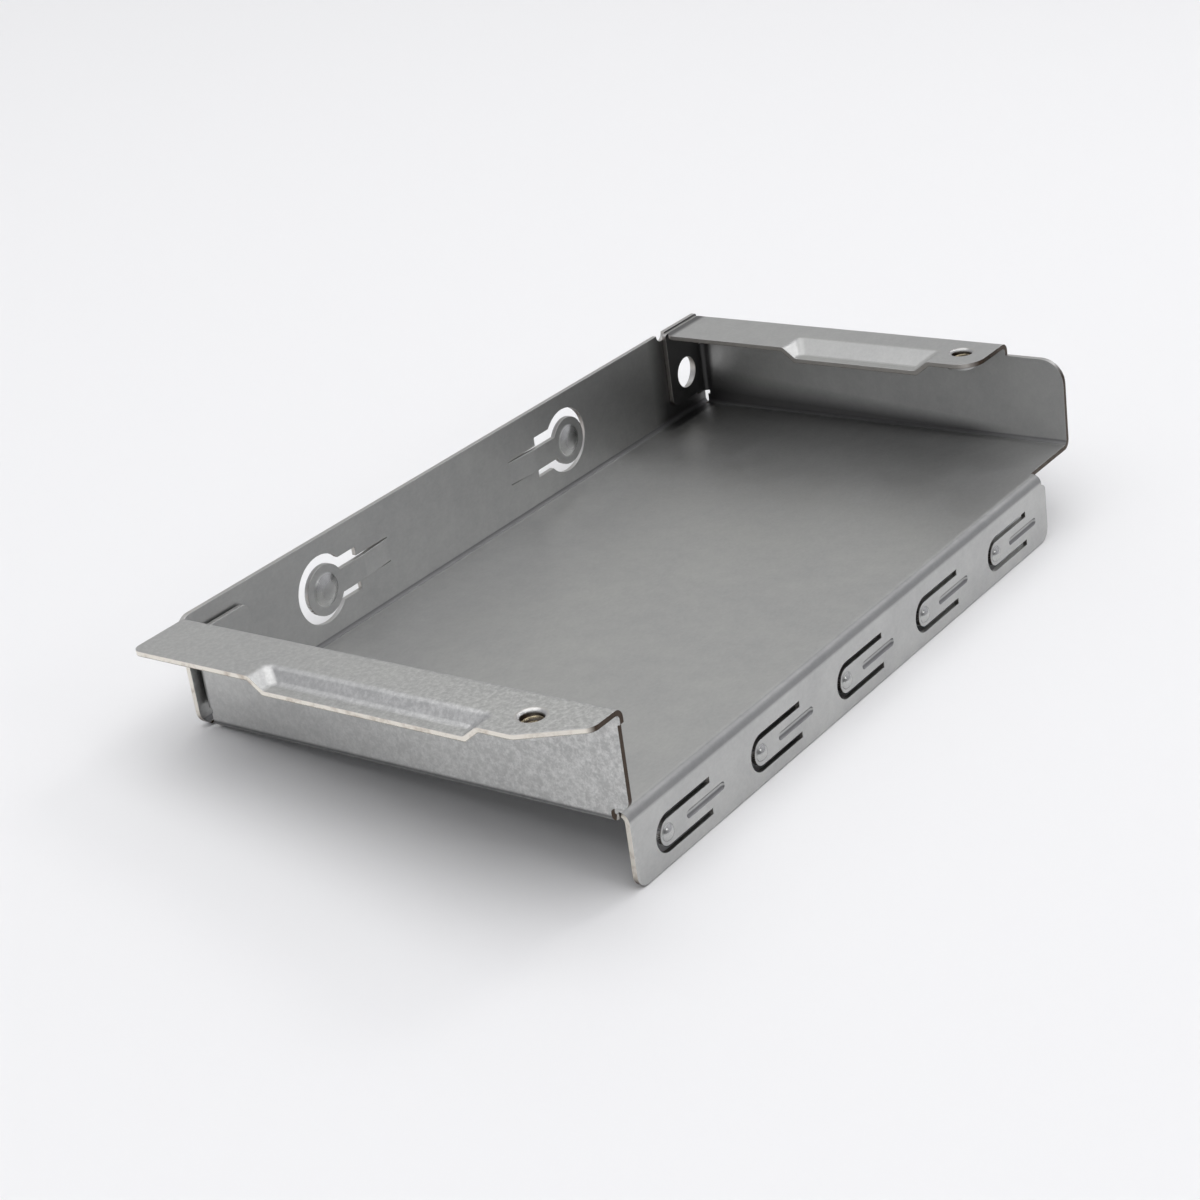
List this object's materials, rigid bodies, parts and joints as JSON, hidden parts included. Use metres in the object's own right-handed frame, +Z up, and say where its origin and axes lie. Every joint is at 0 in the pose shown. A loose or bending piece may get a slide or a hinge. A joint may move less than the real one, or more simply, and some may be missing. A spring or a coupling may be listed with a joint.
{
  "type": "drive bay blank",
  "caption": "Folded zinc-coated steel tray that fills an empty drive bay, with spring fingers, spring tabs and tapped ledges.",
  "frame": {"origin": "centre of the floor plate's underside", "axes": "+X along the tray towards the end wall whose ledge turns inward, +Y towards the tall side wall, +Z up out of the tray"},
  "size_m": [0.1135, 0.0609, 0.0224],
  "materials": {
    "zinc_steel": "satin zinc coating"
  },
  "bodies": {
    "root": {"folded_blank": "zinc_steel"}
  },
  "joints": []
}
